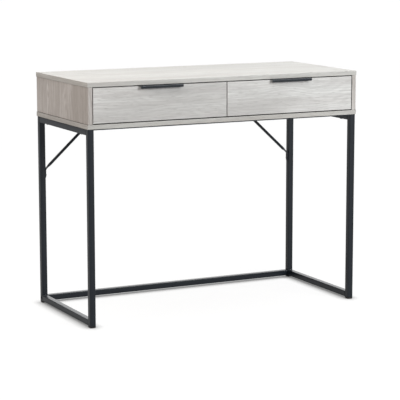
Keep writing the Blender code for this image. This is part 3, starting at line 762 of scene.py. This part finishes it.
ZINC = zinc_plate()
BALL = 0.0025
BALLS_IN_ROW = 9
CAGE_SHEET = 0.0008
END_GAP = 0.006


def ball_grids(node):
    """Spheres in two rows: a half circle turned about y, and that one grid moved along the cage."""
    low, high = (np.array(corner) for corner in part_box(node))
    turn = np.linspace(0, 2 * math.pi, 17)
    fall = np.linspace(0, math.pi, 10)
    ball = np.stack([
        np.outer(np.sin(fall), np.cos(turn)),
        np.outer(np.cos(fall), np.ones(17)),
        np.outer(np.sin(fall), np.sin(turn)),
    ], axis=-1) * BALL
    places = np.linspace(low[Y] + END_GAP, high[Y] - END_GAP, BALLS_IN_ROW)
    middle = (low[X] + high[X]) / 2
    rows = (low[Z] + CAGE_SHEET / 2, high[Z] - CAGE_SHEET / 2)
    return [ball + np.array([middle, place, row]) for row in rows for place in places]


for side in ("left", "right"):
    grids = []
    for wall in ("outer", "inner"):
        for kind in ("cabinet_rail", "ball_cage", "drawer_rail"):
            dress(f"{side}_{wall}_{kind}", ZINC)
        grids += ball_grids(f"{side}_{wall}_ball_cage")
    balls = surface(f"{side}_runner_balls", grids, ZINC)
    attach(balls, f"{side}_ball_cages")


# ---- Screws and bolts ----
# Steel machine screws with rolled threads. Button heads with a hexagon socket hold the frame and the
# braces, coated black; zinc-plated pan heads with a cross recess hold the handles.

THREAD_MIDDLE = 0.91
THREAD_DEPTH = 0.08
PITCH = 0.0008
SOCKET_SHARE = 0.48
ARM_SHARE = 0.30
SKIRT_SHARE = 0.35
RIM = 0.0001


def socket_outline(kind, angle, size):
    """The recess's outline as a radius for each angle.

    A hexagon has size / cos of the angle from the middle of the nearest flat. A cross has size / cos
    along an arm, or half the arm's width / sin beside it, whichever is less.
    """
    if kind == "hexagon":
        return size / np.cos((angle + math.pi / 6) % (math.pi / 3) - math.pi / 6)
    folded = np.abs((angle + math.pi / 4) % (math.pi / 2) - math.pi / 4)
    arm = ARM_SHARE * size
    return np.minimum(size / np.cos(folded), arm / np.maximum(np.sin(folded), 0.0001))


def screw_grid(shank, head, tall, length, kind):
    """Rings about +z, from the middle of the recess to the tip.

    The first follow the recess and the next a quarter ellipse for the head. The rest are the thread:
    the radius is a cosine of one wave for each pitch of depth, less one wave for each turn.
    """
    angle = np.linspace(0, 2 * math.pi, 49)
    recess = socket_outline(kind, angle, head * SOCKET_SHARE)
    deep = tall * SKIRT_SHARE
    rings = [
        (0, deep * 0.6),
        (recess * 0.55, deep * 0.8),
        (recess * 0.97, deep),
        (recess, tall - RIM),
        (recess * 1.04, tall),
    ]
    top = max(recess.max() * 1.1, head * 0.6)
    for step in np.linspace(0, math.pi / 2, 7):
        rings.append((top + (head - top) * np.sin(step), deep + (tall - deep) * np.cos(step)))
    rings += [(head, 0.0004), (head - 0.0002, 0.0003), (shank * 1.1, 0.0003)]
    for fall in np.linspace(0.0001, length - PITCH, max(int(length / PITCH * 5), 12)):
        phase = 2 * math.pi * fall / PITCH - angle
        rings.append((shank * (THREAD_MIDDLE + THREAD_DEPTH * np.cos(phase)), -fall))
    rings += [(shank * 0.5, -length), (0, -length)]
    across = np.stack([radius + 0 * angle for radius, _ in rings])
    up = np.stack([height + 0 * angle for _, height in rings])
    return np.stack([across * np.cos(angle), across * np.sin(angle), up], axis=-1)


def aimed(grid, seat, way):
    """The grid turned so that its +z points the way given, and moved to the seat."""
    turn = np.array(Vector(way).to_track_quat("Z", "Y").to_matrix())
    return grid @ turn.T + np.array(seat)


def screw(node, way, sizes, kind, body, material, finish):
    """A screw in place of a CAD node, with its seat where the node's head begins."""
    low, high = (np.array(corner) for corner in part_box(node))
    shank, head, tall = sizes
    axis = int(np.argmax(np.abs(way)))
    seat = (low + high) / 2
    seat[axis] = high[axis] - tall if way[axis] > 0 else low[axis] + tall
    length = high[axis] - low[axis] - tall
    turned = aimed(screw_grid(shank, head, tall, length, kind), seat, way)
    made = surface(f"{node}_turned", [turned], material)
    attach(made, body)
    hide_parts(node)


M4_PAN = (0.0020, 0.0040, 0.0020)
M4_BUTTON = (0.0020, 0.0042, 0.0022)
M6_BUTTON = (0.0030, 0.0055, 0.0028)
M6_LOW = (0.0030, 0.0060, 0.0016)
COATED = ("hexagon", "desk", BLACK, "black_powder_coat")
for side, sign in (("left", -1), ("right", 1)):
    for end in ("front", "rear"):
        screw(f"{side}_{end}_carcass_bolt", (0, 0, -1), M6_BUTTON, *COATED)
    screw(f"{side}_rear_rail_bolt", (sign, 0, 0), M6_LOW, *COATED)
    screw(f"{side}_brace_leg_screw", (-sign, 0, 0), M4_BUTTON, *COATED)
    screw(f"{side}_brace_top_screw", (0, 0, -1), M4_BUTTON, *COATED)
    plated = ("cross", f"{side}_drawer", ZINC, "zinc_plated_steel")
    for number in (1, 2):
        screw(f"{side}_handle_screw_{number}", (0, 1, 0), M4_PAN, *plated)
